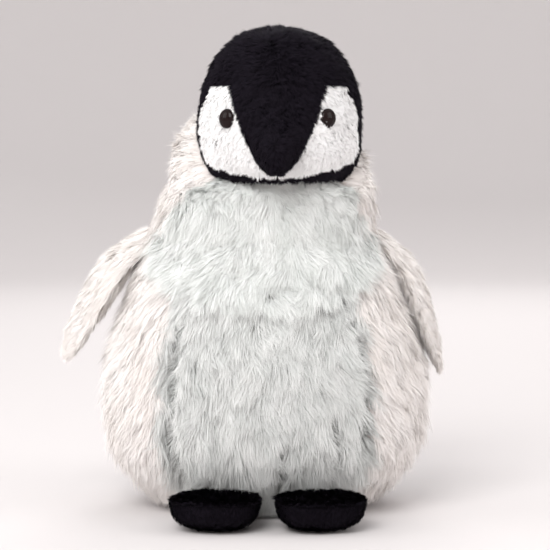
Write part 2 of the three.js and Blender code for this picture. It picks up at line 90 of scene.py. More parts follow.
world = bpy.data.worlds.new("studio")
scene.world = world
world.use_nodes = True
world.node_tree.nodes["Background"].inputs["Color"].default_value = (0.97, 0.97, 0.98, 1)
world.node_tree.nodes["Background"].inputs["Strength"].default_value = 1.0


def soft_light(name, place, size, watts):
    lamp = bpy.data.lights.new(name, "AREA")
    lamp.size = size
    lamp.energy = watts
    holder = bpy.data.objects.new(name, lamp)
    holder.location = place
    aim = Vector((0, 0, 0.12)) - Vector(place)
    holder.rotation_euler = aim.to_track_quat("-Z", "Y").to_euler()
    scene.collection.objects.link(holder)


soft_light("key", (-0.5, -1.3, 1.1), 1.0, 26)
soft_light("left_fill", (-1.5, -0.3, 0.8), 0.8, 6)
soft_light("right_fill", (1.5, -0.5, 0.7), 0.9, 7)
soft_light("back", (0.2, 1.4, 1.1), 0.9, 10)

camera_distance = 1.0
camera_rise = math.radians(3.8)
aim_point = Vector((0.005, -0.02, 0.1215))
lens = bpy.data.cameras.new("camera")
lens.sensor_fit = "HORIZONTAL"
lens.sensor_width = 36
lens.lens = 128
camera = bpy.data.objects.new("camera", lens)
away = Vector((0, -math.cos(camera_rise), math.sin(camera_rise)))
camera.location = aim_point + away * camera_distance
camera.rotation_euler = (-away).to_track_quat("-Z", "Y").to_euler()
scene.collection.objects.link(camera)
scene.camera = camera

# ---------------------------------------------------------------------------------------
# Body: six upright panels and a base of long crystal pile, sewn into a pear shape and
# filled. The belly is greyer, the sides paler, and the pile is combed down and outwards.
# Sizes are in millimetres up to the point where a mesh is made.
# ---------------------------------------------------------------------------------------

MM = 0.001
cloth_thickness = 1.0
body_cloth_depth = 5.0  # from the face of the combed pile down to the cloth
body_front_depth = 0.8  # depth as a share of the half width, in front and behind
body_back_depth = 0.84
shoulder_height = 149.5
body_outline = np.array([  # half width and height from the base seam to the shoulders
    (46, 0), (56, 4), (64.5, 12), (77.5, 28), (83, 48), (80.5, 82), (69.5, 114), (60.5, 135),
    (55.5, shoulder_height),
], float)


def spline_table(points, steps=60):
    """A smooth line through the points, as rows of radius, height and the inward direction's two parts."""
    ends = np.vstack([points[:1], points, points[-1:]])
    rows = []
    for i in range(len(points) - 1):
        a, b, c, d = ends[i], ends[i + 1], ends[i + 2], ends[i + 3]
        t = np.linspace(0, 1, steps, endpoint=False)[:, None]
        square = (2 * a - 5 * b + 4 * c - d) * t ** 2
        cube = (3 * b - a - 3 * c + d) * t ** 3
        rows.append(0.5 * ((2 * b) + (c - a) * t + square + cube))
    line = np.vstack(rows + [points[-1:]])
    along = np.gradient(line, axis=0)
    along /= np.linalg.norm(along, axis=1)[:, None]
    return np.column_stack([line, -along[:, 1], along[:, 0]])


body_table = spline_table(body_outline)


def body_point(azimuth, height, inset):
    """A point of the body, at a depth below the pile's face. Azimuth is in degrees, 0 in front."""
    radius, inward, rise = (np.interp(height, body_table[:, 1], body_table[:, k]) for k in (0, 2, 3))
    turn = np.radians(azimuth)
    reach = radius + inward * inset
    depth = np.where(np.cos(turn) > 0, body_front_depth, body_back_depth)
    return np.stack([reach * np.sin(turn), -reach * depth * np.cos(turn), height + rise * inset], -1)


def wander(points, size, seed):
    """A smooth field between about -1 and 1 that changes over the given size."""
    rng = np.random.default_rng(seed)
    total = np.zeros(points.shape[:-1])
    for octave in (1.0, 1.7, 0.6, 2.6):
        direction = rng.normal(size=3)
        direction /= np.linalg.norm(direction)
        total += np.sin(points @ direction * (2 * math.pi * octave / size) + rng.uniform(0, 7)) / 2.2
    return total


def eased(value, low, high):
    t = np.clip((value - low) / (high - low), 0, 1)
    return t * t * (3 - 2 * t)


def unit(vectors):
    return vectors / np.maximum(np.linalg.norm(vectors, axis=-1, keepdims=True), 1e-9)


def cloth_shell(face, depth, columns, rows):
    """The panel's cloth as a closed shell, and its face as a grid of points and outward directions."""
    u, v = np.meshgrid(np.linspace(0, 1, columns + 1), np.linspace(0, 1, rows + 1))
    front, back = face(u, v, depth), face(u, v, depth + cloth_thickness)
    outward = np.cross(np.gradient(front, axis=1), np.gradient(front, axis=0))
    outward = unit(outward) * np.sign(np.sum(outward * (front - back), -1, keepdims=True) + 1e-12)
    mesh = bmesh.new()
    sides = [[[mesh.verts.new(p) for p in row] for row in grid] for grid in (front, back)]
    near, far = sides

    def quad(*corners):
        if len(set(corners)) == 4:
            mesh.faces.new(corners)

    for r in range(rows):
        for c in range(columns):
            quad(near[r][c], near[r][c + 1], near[r + 1][c + 1], near[r + 1][c])
            quad(far[r][c], far[r + 1][c], far[r + 1][c + 1], far[r][c + 1])
        quad(near[r][0], near[r + 1][0], far[r + 1][0], far[r][0])
        quad(near[r][columns], far[r][columns], far[r + 1][columns], near[r + 1][columns])
    for c in range(columns):
        quad(near[0][c], far[0][c], far[0][c + 1], near[0][c + 1])
        quad(near[rows][c], near[rows][c + 1], far[rows][c + 1], far[rows][c])
    bmesh.ops.remove_doubles(mesh, verts=mesh.verts[:], dist=1e-3)
    bmesh.ops.dissolve_degenerate(mesh, edges=mesh.edges[:], dist=1e-4)
    seen = {}
    for f in mesh.faces:
        seen.setdefault(frozenset(f.verts), []).append(f)
    doubled = [f for same in seen.values() if len(same) > 1 for f in same]
    bmesh.ops.delete(mesh, geom=doubled, context="FACES")
    bmesh.ops.recalc_face_normals(mesh, faces=mesh.faces[:])
    mesh.verts.ensure_lookup_table()
    mesh.verts.index_update()
    corners = np.array([v.co for v in mesh.verts])
    lean = np.array([v.normal for v in mesh.verts])
    loops = [[v.index for v in f.verts] for f in mesh.faces]
    mesh.free()
    return corners, lean, loops, front, outward


def scatter(grid, outward, count, rng):
    """Random places spread evenly over a grid of points, with their outward directions."""
    a, b, c, d = grid[:-1, :-1], grid[:-1, 1:], grid[1:, 1:], grid[1:, :-1]
    area = np.linalg.norm(np.cross(c - a, d - b), axis=-1).ravel()
    pick = rng.choice(len(area), count, p=area / area.sum())
    row, column = np.unravel_index(pick, (grid.shape[0] - 1, grid.shape[1] - 1))
    s, t = rng.random((2, count, 1))

    def between(values):
        low = values[row, column] * (1 - s) + values[row, column + 1] * s
        high = values[row + 1, column] * (1 - s) + values[row + 1, column + 1] * s
        return low * (1 - t) + high * t

    return between(grid), unit(between(outward))


def combed_strands(roots, outward, comb, length, rng, style):
    """Tapered strands that rise from their roots, bend over along the comb and gather into locks."""
    count, steps = len(roots), style["steps"]
    level = unit(comb - outward * np.sum(comb * outward, -1, keepdims=True))
    across = np.cross(outward, level)
    centres = rng.choice(count, min(max(8, int(style["area"] / style["lock"] ** 2)), count), replace=False)
    tree = kdtree.KDTree(len(centres))
    for i, place in enumerate(roots[centres]):
        tree.insert(place, i)
    tree.balance()
    lock = np.array([tree.find(p)[1] for p in roots])
    tuft_turn = np.radians(style["swing"]) * 0.8 * wander(roots, style["lock"] * 4.5, 91)
    tuft_lift = 0.10 * wander(roots, style["lock"] * 3.5, 92)
    swing = np.radians(rng.normal(0, style["swing"], len(centres)))
    lock_length = rng.normal(1, 0.10, len(centres))
    lock_rise = rng.normal(1, style["ruffle"], len(centres))
    lock_tone = rng.random(len(centres))
    middle = centres[lock]
    reach = length * lock_length[lock]
    own_reach = reach * rng.uniform(0.70, 1.10, count)
    own_rise = (lock_rise[lock] + tuft_lift) * rng.normal(1, 0.13, count)
    lead_rise = lock_rise[lock] + tuft_lift
    own_turn = swing[lock] + tuft_turn + np.radians(rng.normal(0, style["stray"], count))
    lead_turn = (swing[lock] + tuft_turn)
    stray = rng.normal(0, style["frizz"], (count, 3))

    def bent(s, size, start, turn, lift):
        ahead = level[start] * np.cos(turn)[:, None] + across[start] * np.sin(turn)[:, None]
        up = (style["rise"] * s - style["bend"] * s * s) * lift
        on = style["lean"] * s + style["curl"] * s * s
        return roots[start] + size[:, None] * (outward[start] * up[:, None] + ahead * on)

    own = np.arange(count)
    paths = []
    for k in range(steps + 1):
        s = k / steps
        path = bent(s, own_reach, own, own_turn, own_rise)
        lead = bent(s, reach, middle, lead_turn, lead_rise)
        paths.append(path + (lead - path) * (style["pull"] * s ** 1.3) + stray * s ** 1.5)
    paths = np.stack(paths, 1)
    paths[:, :, 2] = np.maximum(paths[:, :, 2], 0.25)
    direction = unit(np.diff(paths, axis=1, append=2 * paths[:, -1:] - paths[:, -2:-1]))
    roll = rng.normal(0, 0.6, count)[:, None, None]
    wide = unit(np.cross(direction, outward[:, None, :]))
    wide = unit(wide * np.cos(roll) + np.cross(direction, wide) * np.sin(roll))
    taper = style["width"] * (1 - (np.arange(steps + 1) / steps) ** 1.8)[None, :, None] / 2
    taper = taper * rng.uniform(0.75, 1.25, (count, 1, 1))
    left, right = paths - wide * taper, paths + wide * taper
    rows = 2 * steps + 1
    points = np.empty((count, rows, 3))
    points[:, 0:-1:2], points[:, 1::2], points[:, -1] = left[:, :-1], right[:, :-1], paths[:, -1]
    share = np.repeat(np.arange(steps) / steps, 2)
    tip = np.broadcast_to(np.append(share, 1.0), (count, rows))
    own_tone = np.clip(lock_tone[lock] * 0.65 + rng.random(count) * 0.35, 0, 1)
    tone = np.broadcast_to(own_tone[:, None], (count, rows))
    cells = math.ceil(math.sqrt(count))
    side = np.append(np.tile([0.15, 0.85], steps), 0.5)
    up_cell = np.append(0.1 + 0.8 * share, 0.9)
    uv = np.stack([(own % cells)[:, None] + side, (own // cells)[:, None] + up_cell], -1) / cells
    own_normal = np.cross(direction, wide)
    own_normal *= np.sign(np.sum(own_normal * outward[:, None, :], -1, keepdims=True) + 1e-9)
    shade = unit(outward[:, None, :] * 0.85 + own_normal * 0.25)
    shade = np.concatenate([np.repeat(shade[:, :-1], 2, axis=1), shade[:, -1:]], 1)
    base = own[:, None] * rows
    quads = [base + np.array([2 * k, 2 * k + 1, 2 * k + 3, 2 * k + 2]) for k in range(steps - 1)]
    tris = base + np.array([rows - 3, rows - 2, rows - 1])
    quads = np.concatenate(quads) if quads else np.empty((0, 4), int)
    points, shade, uv = points.reshape(-1, 3), shade.reshape(-1, 3), uv.reshape(-1, 2)
    return points, shade, quads, tris, tip.ravel(), tone.ravel(), uv


def plush(name, face, size, strands, length, comb, finish, seed, depth=body_cloth_depth, **style):
    """One pile fabric piece, its cloth and its combed pile. face(u, v, inset) is in millimetres."""
    settings = dict(steps=2, lock=2.3, swing=15, stray=15, ruffle=0.17, rise=0.74, bend=0.36, lean=0.52,
                    curl=0.32, pull=0.42, frizz=0.8, width=0.30)
    settings.update(style)
    rng = np.random.default_rng(seed)
    corners, lean, loops, grid, outward = cloth_shell(face, depth, *size)
    a, b, c, d = grid[:-1, :-1], grid[:-1, 1:], grid[1:, 1:], grid[1:, :-1]
    settings["area"] = float(np.linalg.norm(np.cross(c - a, d - b), axis=-1).sum() / 2)
    roots, away = scatter(grid, outward, strands, rng)
    lengths = length(roots) if callable(length) else np.full(strands, float(length))
    pile = combed_strands(roots, away, comb(roots), lengths, rng, settings)
    points, shade, quads, tris, tip, tone, uv = pile
    first = len(corners)
    sizes = [len(f) for f in loops] + [4] * len(quads) + [3] * len(tris)
    cloth_loops = np.fromiter((i for f in loops for i in f), int)
    flat = np.concatenate([cloth_loops, quads.ravel() + first, tris.ravel() + first])
    places = np.vstack([corners, points]) * MM
    mesh = bpy.data.meshes.new(name)
    mesh.vertices.add(len(places))
    mesh.vertices.foreach_set("co", places.astype(np.float32).ravel())
    mesh.loops.add(len(flat))
    mesh.loops.foreach_set("vertex_index", flat.astype(np.int32))
    mesh.polygons.add(len(sizes))
    starts = np.concatenate([[0], np.cumsum(sizes)[:-1]]).astype(np.int32)
    mesh.polygons.foreach_set("loop_start", starts)
    mesh.update(calc_edges=True)
    mesh.polygons.foreach_set("use_smooth", np.ones(len(sizes), bool))
    cloth_uv = np.column_stack([np.full(first, 0.0005), np.full(first, 0.0005)])
    layer = mesh.uv_layers.new(name="OFBake")
    layer.data.foreach_set("uv", np.vstack([cloth_uv, uv])[flat].astype(np.float32).ravel())
    # the cloth under the pile takes the colour near the root, painted shade included
    for label, values, plain in (("tip", tip, 0.1), ("tone", tone, 0.5)):
        attribute = mesh.attributes.new(label, "FLOAT", "POINT")
        everywhere = np.concatenate([np.full(first, plain), values])
        attribute.data.foreach_set("value", everywhere.astype(np.float32))
    mesh.normals_split_custom_set_from_vertices(np.vstack([lean, shade]).astype(np.float32))
    piece = bpy.data.objects.new(name, mesh)
    scene.collection.objects.link(piece)
    mesh.materials.append(finish)
    return piece


def pile_finish(name, root, middle, tip, patch, patch_size, sheen, shine=0.2):
    """Pile colour: darker towards the root, which is painted shade deep in the pile between the locks,
    lighter at the tip, with locks and cloudy patches of their own tone.
    """
    finish = bpy.data.materials.new(name)
    finish.use_nodes = True
    nodes, links = finish.node_tree.nodes, finish.node_tree.links
    shader = nodes["Principled BSDF"]
    along = nodes.new("ShaderNodeAttribute")
    along.attribute_name = "tip"
    # painted shade: the ramp runs from the darkened root colour up to the tip colour
    ramp = nodes.new("ShaderNodeValToRGB")
    ramp.color_ramp.elements[0].color = (*root, 1)
    ramp.color_ramp.elements[1].color = (*tip, 1)
    ramp.color_ramp.elements.new(0.45).color = (*middle, 1)
    links.new(along.outputs["Fac"], ramp.inputs["Fac"])
    tone = nodes.new("ShaderNodeAttribute")
    tone.attribute_name = "tone"
    place = nodes.new("ShaderNodeTexCoord")
    cloud = nodes.new("ShaderNodeTexNoise")
    cloud.inputs["Scale"].default_value = 1 / (patch_size * MM)
    cloud.inputs["Detail"].default_value = 3
    streak = nodes.new("ShaderNodeMapping")
    streak.inputs["Scale"].default_value = (1, 1, 0.4)
    links.new(place.outputs["Object"], streak.inputs["Vector"])
    links.new(streak.outputs["Vector"], cloud.inputs["Vector"])
    mixed = nodes.new("ShaderNodeMath")
    mixed.operation = "MULTIPLY_ADD"
    mixed.inputs[1].default_value = 0.55
    links.new(tone.outputs["Fac"], mixed.inputs[0])
    links.new(cloud.outputs["Fac"], mixed.inputs[2])
    reach = nodes.new("ShaderNodeMapRange")
    reach.inputs["From Min"].default_value = 0.45
    reach.inputs["From Max"].default_value = 1.05
    links.new(mixed.outputs["Value"], reach.inputs["Value"])
    tint = nodes.new("ShaderNodeMix")
    tint.data_type = "RGBA"
    tint.blend_type = "MULTIPLY"
    tint.inputs["B"].default_value = (*patch, 1)
    links.new(reach.outputs["Result"], tint.inputs["Factor"])
    links.new(ramp.outputs["Color"], tint.inputs["A"])
    links.new(tint.outputs["Result"], shader.inputs["Base Color"])
    shader.inputs["Roughness"].default_value = 0.75
    shader.inputs["Specular IOR Level"].default_value = shine
    shader.inputs["Sheen Weight"].default_value = sheen
    shader.inputs["Sheen Roughness"].default_value = 0.5
    return finish


# the first colour of each pile, here and below, is its root colour darkened as painted shade deep in the
# pile
grey_pile = pile_finish("grey_pile", (0.36, 0.365, 0.355), (0.75, 0.755, 0.74), (0.98, 0.985, 0.965),
                        (0.80, 0.815, 0.81), 11, 0.1)
# the pale pile's paleness is its own; its warm pink cast is painted light, bounced from a pink surface
pale_pile = pile_finish("pale_pile", (0.72, 0.67, 0.64), (0.93, 0.89, 0.865), (1.0, 0.975, 0.955),
                        (0.96, 0.945, 0.93), 20, 0.1)

belly_seam = 41
back_seam = 112
body_creases = [  # azimuth, lowest and highest height, and width, of the belly's seams and folds
    (-belly_seam, 20, 102, 3.6),
    (belly_seam + 3, 42, 100, 3.6),
    (8, 12, 52, 3.0),
    (-25, 10, 34, 2.4),
    (30, 36, 60, 2.4),
]
bib_end = 80
bib_low = 113


def bib_line(azimuth):
    share = np.minimum(np.abs(azimuth) / bib_end, 1)
    return bib_low + (shoulder_height - bib_low) * share ** 2


def body_face(start, end, bottom, top):
    """The face of a body panel between two azimuths, and between two lines of height."""
    def face(u, v, inset):
        azimuth = start + (end - start) * u
        low, high = bottom(azimuth), top(azimuth)
        return body_point(azimuth, low + (high - low) * v, inset)
    return face


def body_comb(roots):
    """Downwards, spreading to the sides and away from the creases, with slow swirls."""
    side = np.arctan2(roots[:, 0], -roots[:, 1])
    sideways = np.stack([np.cos(side), np.sin(side), np.zeros(len(roots))], -1)
    swirl = 0.32 * wander(roots, 60, 11) + 0.25 * wander(roots, 24, 12)
    spread = 0.35 * np.sin(np.clip(side, -2.2, 2.2)) + swirl
    spread = spread + 1.3 * creases(roots)[1]
    return np.array([0, 0, -1.0]) + sideways * spread[:, None]


def side_angle(roots):
    """Azimuth in degrees of places on the body."""
    return np.degrees(np.arctan2(roots[:, 0], -roots[:, 1]))


def creases(roots):
    """How near each place is to a seam or a fold where the pile parts, and on which side of it."""
    near, away = np.zeros(len(roots)), np.zeros(len(roots))
    for azimuth, low, high, width in body_creases:
        apart = (side_angle(roots) - azimuth) * 1.25  # millimetres on a radius of about 72
        window = eased(roots[:, 2], low - 6, low + 8) * (1 - eased(roots[:, 2], high - 8, high + 6))
        share = np.exp(-(apart / width) ** 2) * window
        away += np.sign(apart) * share
        near = np.maximum(near, share)
    return near, away


def body_length(most):
    """Long pile, shorter in the creases and at the bottom edge, where it would drag on the floor, but longer
    at the bottom edge in front, where it falls over the feet.
    """
    def length(roots):
        foot = np.where(np.abs(side_angle(roots)) < 45, 1.2, 0.5)
        full = foot + (1 - foot) * np.clip((roots[:, 2] - 1) / 14, 0, 1)
        return most * full * (1 - 0.75 * creases(roots)[0])
    return length


def sewn(piece, body, slot, *nodes, fill=0.8):
    """Attaches a stuffed pile panel to its body and hides the frame's parts that it stands for."""
    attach(piece, body)
    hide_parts(*nodes)


def ground(azimuth):
    return np.full(np.shape(azimuth), 0.3)


def shoulder(azimuth):
    return np.full(np.shape(azimuth), shoulder_height)


belly_hair = 16
back_hair = 15
belly_face = body_face(-belly_seam, belly_seam, ground, bib_line)
belly = plush("belly_plush", belly_face, (40, 48), 60000, body_length(belly_hair), body_comb, grey_pile,
              seed=1)
sewn(belly, "torso", "grey_plush", "belly_panel")
for name, start, end, seed in (("left", belly_seam, back_seam, 2), ("right", -back_seam, -belly_seam, 3)):
    side_panel = plush(f"{name}_side_plush", body_face(start, end, ground, bib_line), (34, 48), 50000,
                       body_length(belly_hair), body_comb, pale_pile, seed=seed)
    sewn(side_panel, "torso", "pale_plush", f"{name}_side_panel")
for name, start, end, seed in (("left", back_seam, 180, 4), ("right", -180, -back_seam, 5)):
    back_panel = plush(f"back_{name}_plush", body_face(start, end, ground, shoulder), (34, 48), 44000,
                       body_length(back_hair), body_comb, grey_pile, seed=seed)
    sewn(back_panel, "torso", "grey_plush", f"back_{name}_panel")

# ---------------------------------------------------------------------------------------
# Bib: the chest panel. Its lower edge is gathered, so its pile stands fuller there and
# falls over the belly along a curved line.
# ---------------------------------------------------------------------------------------

bib_bulge = 2.8
bib_hair = 15
bib_hair_lost = 6  # towards the neck, where the pile is shorter


def bib_face(u, v, inset):
    azimuth = (2 * u - 1) * (bib_end - 3)
    low = bib_line(azimuth) - 1.5
    height = low + (shoulder_height - low) * v
    swell = bib_bulge * np.exp(-(v / 0.3) ** 2) * np.cos(np.radians(azimuth * 90 / bib_end))
    return body_point(azimuth, height, inset - swell)


def bib_length(roots):
    ragged = 1 + 0.22 * wander(roots, 16, 14)
    return (bib_hair - bib_hair_lost * eased(roots[:, 2], 134, 149)) * ragged


bib_pile = pile_finish("bib_pile", (0.42, 0.425, 0.41), (0.80, 0.81, 0.795), (0.99, 1.0, 0.98),
                       (0.84, 0.855, 0.845), 12, 0.1)
bib = plush("chest_plush", bib_face, (56, 20), 60000, bib_length, body_comb, bib_pile, seed=6)
sewn(bib, "torso", "grey_plush", "chest_panel")

# ---------------------------------------------------------------------------------------
# Base: a flat oval of shorter pile that the toy sits on, sewn round the bottom edge.
# ---------------------------------------------------------------------------------------

base_half = 45.5
base_hair = 5


def base_face(u, v, inset):
    turn = u * 2 * math.pi
    reach = base_half * v
    along = -reach * body_front_depth * np.cos(turn)
    return np.stack([reach * np.sin(turn), along, 0.4 + 0 * u + inset], -1)


def outwards(roots):
    return unit(np.column_stack([roots[:, 0], roots[:, 1], np.zeros(len(roots))]))


base = plush("base_plush", base_face, (48, 10), 9000, base_hair, outwards, pale_pile, seed=7, depth=1.6,
             lock=2.4, rise=0.25, bend=0.1, ruffle=0.05)
sewn(base, "torso", "pale_plush", "base_panel")

# ---------------------------------------------------------------------------------------
# Head: black short pile for the crown, the sides, the strap and the forehead gusset, which
# runs down as a V and stands out into the beak. A white cheek is let in on each side.
# ---------------------------------------------------------------------------------------

head_shift = np.array([7.5, -8.0, 0.0])
head_yaw = math.radians(-2)
head_middle = 197
head_half = 43
head_front = 54
head_back = 42
head_up = 52
head_down = 36
head_up_power = 2.3
head_down_power = 3
head_front_power = 1.8
head_cloth_depth = 2.6
face_top = 218.5
face_low = 171
face_rise = 9
cheek_end = 74
cheek_pinch = 14
strap_low = 168.3
beak_tip_height = 173.5
beak_width = 24.5
beak_reach = 17


def head_share(height):
    above = height > head_middle
    reach = np.where(above, head_up, head_down)
    power = np.where(above, head_up_power, head_down_power)
    return (1 - np.minimum(np.abs(height - head_middle) / reach, 1) ** power) ** (1 / power)


def head_local(azimuth, height, inset):
    """A point of the head in its own frame, at a depth below the pile's face."""
    turn = np.radians(azimuth)
    share = head_share(height)
    in_front = np.cos(turn) > 0
    power = np.where(in_front, 2 / head_front_power, 1)
    across = np.sign(np.sin(turn)) * np.abs(np.sin(turn)) ** power
    along = np.abs(np.cos(turn)) ** power * np.where(in_front, -head_front + inset, head_back - inset)
    reach = np.where(height > head_middle, head_up, head_down)
    level = head_middle + (height - head_middle) * (1 - inset / reach)
    return np.stack([(head_half - inset) * share * across, along * share, level], -1)


def head_placed(points):
    """From the head's own frame to the toy's, with a little unevenness, as filled cloth has."""
    uneven = 0.5 * wander(points, 26, 31)[..., None] * unit(points - np.array([0, 0, head_middle - 5]))
    points = points + uneven
    x, y = points[..., 0], points[..., 1]
    turned = np.stack([
        x * math.cos(head_yaw) - y * math.sin(head_yaw),
        x * math.sin(head_yaw) + y * math.cos(head_yaw),
        points[..., 2],
    ], -1)
    return turned + head_shift


def beak_half(height):
    climb = np.maximum(height - beak_tip_height + 1, 0) / (face_top - beak_tip_height + 1)
    return beak_width * np.sqrt(climb)


def azimuth_at(x, height):
    share = np.minimum(x / (head_half * head_share(height)), 1)
    return np.degrees(np.arcsin(share ** (head_front_power / 2)))


def beak_rise(height):
    return beak_reach * (1 - eased(height, beak_tip_height, face_top - 4))


def cheek_outer(height):
    return cheek_end - cheek_pinch * eased(height, 203, face_top)


def cheek_lower(azimuth):
    return face_low + face_rise * (azimuth / cheek_end) ** 2


def crown_face(u, v, inset):
    edge = math.asin(((face_top - head_middle) / head_up) ** (head_up_power / 2))
    rise = math.pi / 2 + (edge - math.pi / 2) * v
    height = head_middle + head_up * np.sin(rise) ** (2 / head_up_power)
    return head_placed(head_local(u * 360, height, inset))


def gusset_face(u, v, inset):
    height = beak_tip_height + (face_top - beak_tip_height) * v ** 1.5
    side = 2 * u - 1
    azimuth = np.sign(side) * azimuth_at(beak_half(height) * np.abs(side), height)
    point = head_local(azimuth, height, inset)
    point[..., 1] -= beak_rise(height) * (1 - side * side) ** 0.8
    return head_placed(point)


def cheek_face(side):
    def face(u, v, inset):
        climb = v ** 1.4
        level = face_low + (face_top - face_low) * climb
        inner = azimuth_at(beak_half(level + 0.6) + 0.2, level)
        azimuth = inner + (cheek_outer(level + (1 - climb) * face_rise) - inner) * u
        lift = (1 - climb) * (cheek_lower(azimuth) - face_low) * np.minimum(3 * u, 1)
        return head_placed(head_local(side * azimuth, level + lift, inset))
    return face


def head_side_face(side):
    def face(u, v, inset):
        height = strap_low + (face_top - strap_low) * v
        front = cheek_outer(height) + 0.3
        return head_placed(head_local(side * (front + (180 - front) * u), height, inset))
    return face


def strap_face(u, v, inset):
    azimuth = (2 * u - 1) * (cheek_end + 1)
    top = cheek_lower(np.abs(azimuth)) - 0.2
    return head_placed(head_local(azimuth, strap_low + (top - strap_low) * v, inset))


def head_comb(roots):
    """Back and down from the beak, over the crown and the cheeks."""
    sideways = np.stack([0.012 * (roots[:, 0] - 7), 0 * roots[:, 0], 0 * roots[:, 0]], -1)
    swirl = np.stack([wander(roots, 22, 41), wander(roots, 22, 42), wander(roots, 22, 43)], -1)
    return np.array([0, 0.55, -0.8]) + sideways + 0.35 * swirl


black_pile = pile_finish("black_pile", (0.004, 0.003, 0.005), (0.008, 0.006, 0.010), (0.016, 0.013, 0.019),
                         (0.6, 0.55, 0.6), 18, 0.0, shine=0.06)
white_pile = pile_finish("white_pile", (0.90, 0.89, 0.88), (0.98, 0.98, 0.975), (1.0, 1.0, 1.0),
                         (0.99, 0.985, 0.98), 14, 0.1)
crown_hair = 4.0
gusset_hair = 3.2
strap_hair = 3.0
head_side_hair = 3.4
cheek_hair = 2.9
short = dict(depth=head_cloth_depth, lock=1.5, rise=0.85, bend=0.3, pull=0.3, frizz=0.15, width=0.3,
             swing=14, stray=18)
crown = plush("crown_plush", crown_face, (60, 18), 46000, crown_hair, head_comb, black_pile, seed=20,
              **short)
sewn(crown, "head", "black_plush", "crown_panel")
gusset = plush("forehead_plush", gusset_face, (30, 34), 24000, gusset_hair, head_comb, black_pile, seed=21,
               **short)
sewn(gusset, "head", "black_plush", "forehead_gusset")
strap = plush("chin_strap_plush", strap_face, (60, 4), 8000, strap_hair, head_comb, black_pile, seed=22,
              **short)
sewn(strap, "head", "black_plush", "chin_strap")
eye_height = 201
eye_azimuth = 39
# the side from which hairs lie over each eye, and how much longer they are
eye_hair_from = {"left": (-0.6, 0.0, -0.8), "right": (-1.0, 0.0, 0.0)}
eye_hair_length = {"left": 2.6, "right": 5.5}


def eye_seat(side):
    return head_placed(head_local(np.array(side * eye_azimuth), np.array(float(eye_height)), 0.0))


def over_eye(name, side, roots):
    """How much each place belongs to the hairs that lie over the eye's edge, and their direction."""
    away = roots - eye_seat(side)
    distance = np.linalg.norm(away, axis=-1)
    toward = np.clip(unit(away) @ np.array(eye_hair_from[name]) * 1.4, 0, 1)
    return toward * np.exp(-((distance - 6) / 2.2) ** 2), -unit(away)


for name, side, seed in (("left", 1, 23), ("right", -1, 24)):
    def cheek_comb(roots, name=name, side=side):
        share, inward = over_eye(name, side, roots)
        return head_comb(roots) * (1 - share)[:, None] + inward * (2 * share)[:, None]

    def cheek_length(roots, name=name, side=side):
        return cheek_hair + eye_hair_length[name] * over_eye(name, side, roots)[0]

    cheek = plush(f"{name}_cheek_plush", cheek_face(side), (28, 34), 22000, cheek_length, cheek_comb,
                  white_pile, seed=seed, **short)
    sewn(cheek, "head", "white_plush", f"{name}_cheek_patch")
    head_side = plush(f"{name}_head_side_plush", head_side_face(side), (40, 24), 22000, head_side_hair,
                      head_comb, black_pile, seed=seed + 2, **short)
    sewn(head_side, "head", "black_plush", f"{name}_head_side")

# ---------------------------------------------------------------------------------------
# Underside of the beak: a small black piece let in between the tip and the chin.
# ---------------------------------------------------------------------------------------


def under_beak_face(u, v, inset):
    height = beak_tip_height + 0 * u
    side = 2 * u - 1
    azimuth = np.sign(side) * azimuth_at(beak_half(height) * np.abs(side), height)
    point = head_local(azimuth, height, 0.0)
    point[..., 1] -= beak_reach * (1 - side * side) ** 0.8 * v
    point[..., 2] += inset - 0.8 * np.sin(math.pi * np.clip(v, 0, 1)) + 0.4
    return head_placed(point)


under_beak = plush("beak_underside_plush", under_beak_face, (16, 12), 2500, 2.2, head_comb, black_pile,
                   seed=27, **{**short, "depth": 1.0})
sewn(under_beak, "head", "black_plush", "beak_underside")

# ---------------------------------------------------------------------------------------
# Eyes: glossy black safety eyes, a flat dome on a shank, pressed into the white pile.
# ---------------------------------------------------------------------------------------

eye_radius = 4.9
eye_dome = 2.7
eye_proud = -0.9  # pressed into the pile
eye_outline = [(0.0, eye_dome)] + [
    (eye_radius * math.sin(t), eye_dome * math.cos(t) ** 0.9 if t < math.pi / 2 else 0.0)
    for t in np.linspace(0.08, math.pi / 2, 15)
] + [(eye_radius * 0.97, -0.5), (1.9, -0.6), (1.9, -9.0), (0.0, -9.0)]

eye_gloss = bpy.data.materials.new("eye_gloss")
eye_gloss.use_nodes = True
gloss_nodes, gloss_links = eye_gloss.node_tree.nodes, eye_gloss.node_tree.links
gloss = gloss_nodes["Principled BSDF"]
gloss.inputs["Specular IOR Level"].default_value = 0.1
gloss.inputs["Coat Weight"].default_value = 0.03
gloss.inputs["Coat Roughness"].default_value = 0.03
eye_scuff = gloss_nodes.new("ShaderNodeTexNoise")
eye_scuff.inputs["Scale"].default_value = 900
eye_wear = gloss_nodes.new("ShaderNodeMapRange")
eye_wear.inputs["To Min"].default_value = 0.04
eye_wear.inputs["To Max"].default_value = 0.12
gloss_links.new(eye_scuff.outputs["Fac"], eye_wear.inputs["Value"])
gloss_links.new(eye_wear.outputs["Result"], gloss.inputs["Roughness"])
eye_tone = gloss_nodes.new("ShaderNodeValToRGB")
eye_tone.color_ramp.elements[0].color = (0.006, 0.004, 0.004, 1)
eye_tone.color_ramp.elements[1].color = (0.016, 0.008, 0.008, 1)
gloss_links.new(eye_scuff.outputs["Fac"], eye_tone.inputs["Fac"])
gloss_links.new(eye_tone.outputs["Color"], gloss.inputs["Base Color"])

